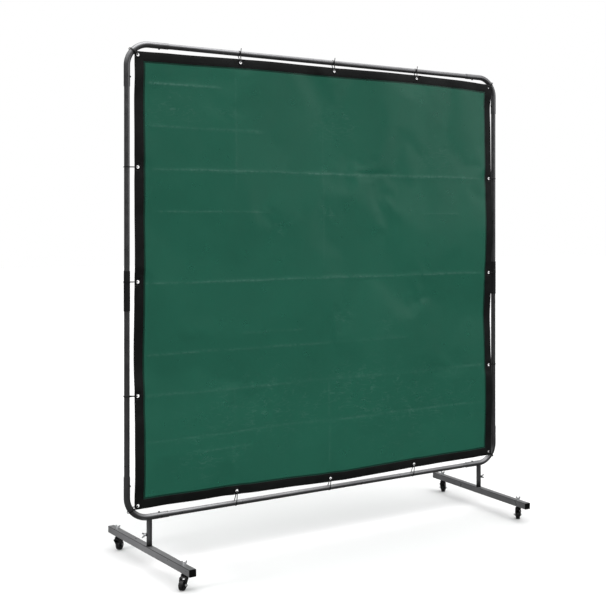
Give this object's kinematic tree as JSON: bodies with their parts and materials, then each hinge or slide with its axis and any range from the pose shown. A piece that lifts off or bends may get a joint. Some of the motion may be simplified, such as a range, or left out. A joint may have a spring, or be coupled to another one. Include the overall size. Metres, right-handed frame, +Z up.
{
  "type": "welding curtain screen",
  "caption": "Portable welding screen: a green vinyl curtain tied into a round tube frame that stands on two clamped cross feet with swivel casters.",
  "frame": {"origin": "on the floor under the middle of the tube frame", "axes": "+X along the screen to the right seen from the front, -Y is the curtain's front, +Z up"},
  "size_m": [1.9082, 0.7626, 2.1248],
  "materials": {
    "frame_paint": "satin dark grey metallic paint",
    "sleeve_black": "satin black paint",
    "vinyl": "soft tinted vinyl with fold creases",
    "hem": "black coated fabric, welded edge",
    "grommet_black": "black oxide",
    "tie_nylon": "black nylon",
    "bright_zinc": "bright zinc plate",
    "spring_steel": "spring steel",
    "nut_black": "black",
    "cap_plastic": "black moulded plastic",
    "caster_black": "gloss black",
    "wheel_black": "moulded black rubber"
  },
  "bodies": {
    "frame": {"elbow_bottom_left": "frame_paint", "bottom_rail_left": "frame_paint", "upright_left_lower": "frame_paint", "elbow_bottom_right": "frame_paint", "bottom_rail_right": "frame_paint", "upright_right_lower": "frame_paint", "elbow_top_left": "frame_paint", "top_rail_left": "frame_paint", "upright_left_upper": "frame_paint", "elbow_top_right": "frame_paint", "top_rail_right": "frame_paint", "upright_right_upper": "frame_paint", "sleeve_left": "sleeve_black", "sleeve_right": "sleeve_black", "rail_joiners": "bright_zinc", "foot_spigots": "frame_paint", "spring_clips": "spring_steel", "curtain_panel": "vinyl", "curtain_hem": "hem", "grommets": "grommet_black", "cable_ties_rails": "tie_nylon", "cable_ties_uprights": "tie_nylon"},
    "foot_left": {"foot_post_left": "frame_paint", "foot_beam_left": "frame_paint", "foot_caps_left": "cap_plastic", "weld_nut_left": "nut_black", "caster_stem_front_left": "bright_zinc", "caster_stem_rear_left": "bright_zinc"},
    "clamp_left": {"wing_bolt_left": "bright_zinc"},
    "wing_nut_front_left_body": {"wing_nut_front_left": "bright_zinc"},
    "caster_front_left": {"caster_fork_front_left": "caster_black", "caster_axle_front_left": "bright_zinc"},
    "wheel_front_left": {"caster_wheel_front_left": "wheel_black"},
    "wing_nut_rear_left_body": {"wing_nut_rear_left": "bright_zinc"},
    "caster_rear_left": {"caster_fork_rear_left": "caster_black", "caster_axle_rear_left": "bright_zinc"},
    "wheel_rear_left": {"caster_wheel_rear_left": "wheel_black"},
    "foot_right": {"foot_post_right": "frame_paint", "foot_beam_right": "frame_paint", "foot_caps_right": "cap_plastic", "weld_nut_right": "nut_black", "caster_stem_front_right": "bright_zinc", "caster_stem_rear_right": "bright_zinc"},
    "clamp_right": {"wing_bolt_right": "bright_zinc"},
    "wing_nut_front_right_body": {"wing_nut_front_right": "bright_zinc"},
    "caster_front_right": {"caster_fork_front_right": "caster_black", "caster_axle_front_right": "bright_zinc"},
    "wheel_front_right": {"caster_wheel_front_right": "wheel_black"},
    "wing_nut_rear_right_body": {"wing_nut_rear_right": "bright_zinc"},
    "caster_rear_right": {"caster_fork_rear_right": "caster_black", "caster_axle_rear_right": "bright_zinc"},
    "wheel_rear_right": {"caster_wheel_rear_right": "wheel_black"},
    "snap_bottom_left_rail": {"button_bottom_left_rail": "bright_zinc"},
    "snap_bottom_left_upright": {"button_bottom_left_upright": "bright_zinc"},
    "snap_bottom_right_rail": {"button_bottom_right_rail": "bright_zinc"},
    "snap_bottom_right_upright": {"button_bottom_right_upright": "bright_zinc"},
    "snap_top_left_rail": {"button_top_left_rail": "bright_zinc"},
    "snap_top_left_upright": {"button_top_left_upright": "bright_zinc"},
    "snap_top_right_rail": {"button_top_right_rail": "bright_zinc"},
    "snap_top_right_upright": {"button_top_right_upright": "bright_zinc"}
  },
  "joints": [
    {"name": "foot_left_swivel", "type": "hinge", "parent": "frame", "child": "foot_left", "pos_m": [-0.847, 0, 0.15], "axis": [0, 0, 1], "range_deg": [-90, 90]},
    {"name": "clamp_left_turn", "type": "hinge", "parent": "foot_left", "child": "clamp_left", "pos_m": [-0.86698, -0.00098, 0.139], "axis": [-0.9988, -0.0489, 0], "continuous": true},
    {"name": "wing_nut_front_left_turn", "type": "hinge", "parent": "foot_left", "child": "wing_nut_front_left_body", "pos_m": [-0.83181, -0.31063, 0.096], "axis": [0, 0, 1], "continuous": true},
    {"name": "caster_front_left_swivel", "type": "hinge", "parent": "foot_left", "child": "caster_front_left", "pos_m": [-0.83181, -0.31063, 0.053], "axis": [0, 0, 1], "continuous": true},
    {"name": "wheel_front_left_spin", "type": "hinge", "parent": "caster_front_left", "child": "wheel_front_left", "pos_m": [-0.8433, -0.32027, 0.02], "axis": [0.6428, -0.766, 0], "continuous": true},
    {"name": "wing_nut_rear_left_turn", "type": "hinge", "parent": "foot_left", "child": "wing_nut_rear_left_body", "pos_m": [-0.86219, 0.31063, 0.096], "axis": [0, 0, 1], "continuous": true},
    {"name": "caster_rear_left_swivel", "type": "hinge", "parent": "foot_left", "child": "caster_rear_left", "pos_m": [-0.86219, 0.31063, 0.053], "axis": [0, 0, 1], "continuous": true},
    {"name": "wheel_rear_left_spin", "type": "hinge", "parent": "caster_rear_left", "child": "wheel_rear_left", "pos_m": [-0.85105, 0.32067, 0.02], "axis": [-0.6691, 0.7431, 0], "continuous": true},
    {"name": "foot_right_swivel", "type": "hinge", "parent": "frame", "child": "foot_right", "pos_m": [0.847, 0, 0.15], "axis": [0, 0, 1], "range_deg": [-90, 90]},
    {"name": "clamp_right_turn", "type": "hinge", "parent": "foot_right", "child": "clamp_right", "pos_m": [0.86698, -0.0008, 0.139], "axis": [0.9992, -0.0401, 0], "continuous": true},
    {"name": "wing_nut_front_right_turn", "type": "hinge", "parent": "foot_right", "child": "wing_nut_front_right_body", "pos_m": [0.83452, -0.31075, 0.096], "axis": [0, 0, 1], "continuous": true},
    {"name": "caster_front_right_swivel", "type": "hinge", "parent": "foot_right", "child": "caster_front_right", "pos_m": [0.83452, -0.31075, 0.053], "axis": [0, 0, 1], "continuous": true},
    {"name": "wheel_front_right_spin", "type": "hinge", "parent": "caster_front_right", "child": "wheel_front_right", "pos_m": [0.84334, -0.29861, 0.02], "axis": [-0.809, 0.5878, 0], "continuous": true},
    {"name": "wing_nut_rear_right_turn", "type": "hinge", "parent": "foot_right", "child": "wing_nut_rear_right_body", "pos_m": [0.85948, 0.31075, 0.096], "axis": [0, 0, 1], "continuous": true},
    {"name": "caster_rear_right_swivel", "type": "hinge", "parent": "foot_right", "child": "caster_rear_right", "pos_m": [0.85948, 0.31075, 0.053], "axis": [0, 0, 1], "continuous": true},
    {"name": "wheel_rear_right_spin", "type": "hinge", "parent": "caster_rear_right", "child": "wheel_rear_right", "pos_m": [0.87097, 0.32039, 0.02], "axis": [-0.6428, 0.766, 0], "continuous": true},
    {"name": "snap_bottom_left_rail_press", "type": "slide", "parent": "frame", "child": "snap_bottom_left_rail", "axis": [0, 0, -1], "range_m": [0, 0.004], "stiffness_N_per_m": 900, "springref_m": -0.002},
    {"name": "snap_bottom_left_upright_press", "type": "slide", "parent": "frame", "child": "snap_bottom_left_upright", "axis": [-1, 0, 0], "range_m": [0, 0.004], "stiffness_N_per_m": 900, "springref_m": -0.002},
    {"name": "snap_bottom_right_rail_press", "type": "slide", "parent": "frame", "child": "snap_bottom_right_rail", "axis": [0, 0, -1], "range_m": [0, 0.004], "stiffness_N_per_m": 900, "springref_m": -0.002},
    {"name": "snap_bottom_right_upright_press", "type": "slide", "parent": "frame", "child": "snap_bottom_right_upright", "axis": [1, 0, 0], "range_m": [0, 0.004], "stiffness_N_per_m": 900, "springref_m": -0.002},
    {"name": "snap_top_left_rail_press", "type": "slide", "parent": "frame", "child": "snap_top_left_rail", "axis": [0, 0, 1], "range_m": [0, 0.004], "stiffness_N_per_m": 900, "springref_m": -0.002},
    {"name": "snap_top_left_upright_press", "type": "slide", "parent": "frame", "child": "snap_top_left_upright", "axis": [-1, 0, 0], "range_m": [0, 0.004], "stiffness_N_per_m": 900, "springref_m": -0.002},
    {"name": "snap_top_right_rail_press", "type": "slide", "parent": "frame", "child": "snap_top_right_rail", "axis": [0, 0, 1], "range_m": [0, 0.004], "stiffness_N_per_m": 900, "springref_m": -0.002},
    {"name": "snap_top_right_upright_press", "type": "slide", "parent": "frame", "child": "snap_top_right_upright", "axis": [1, 0, 0], "range_m": [0, 0.004], "stiffness_N_per_m": 900, "springref_m": -0.002}
  ]
}
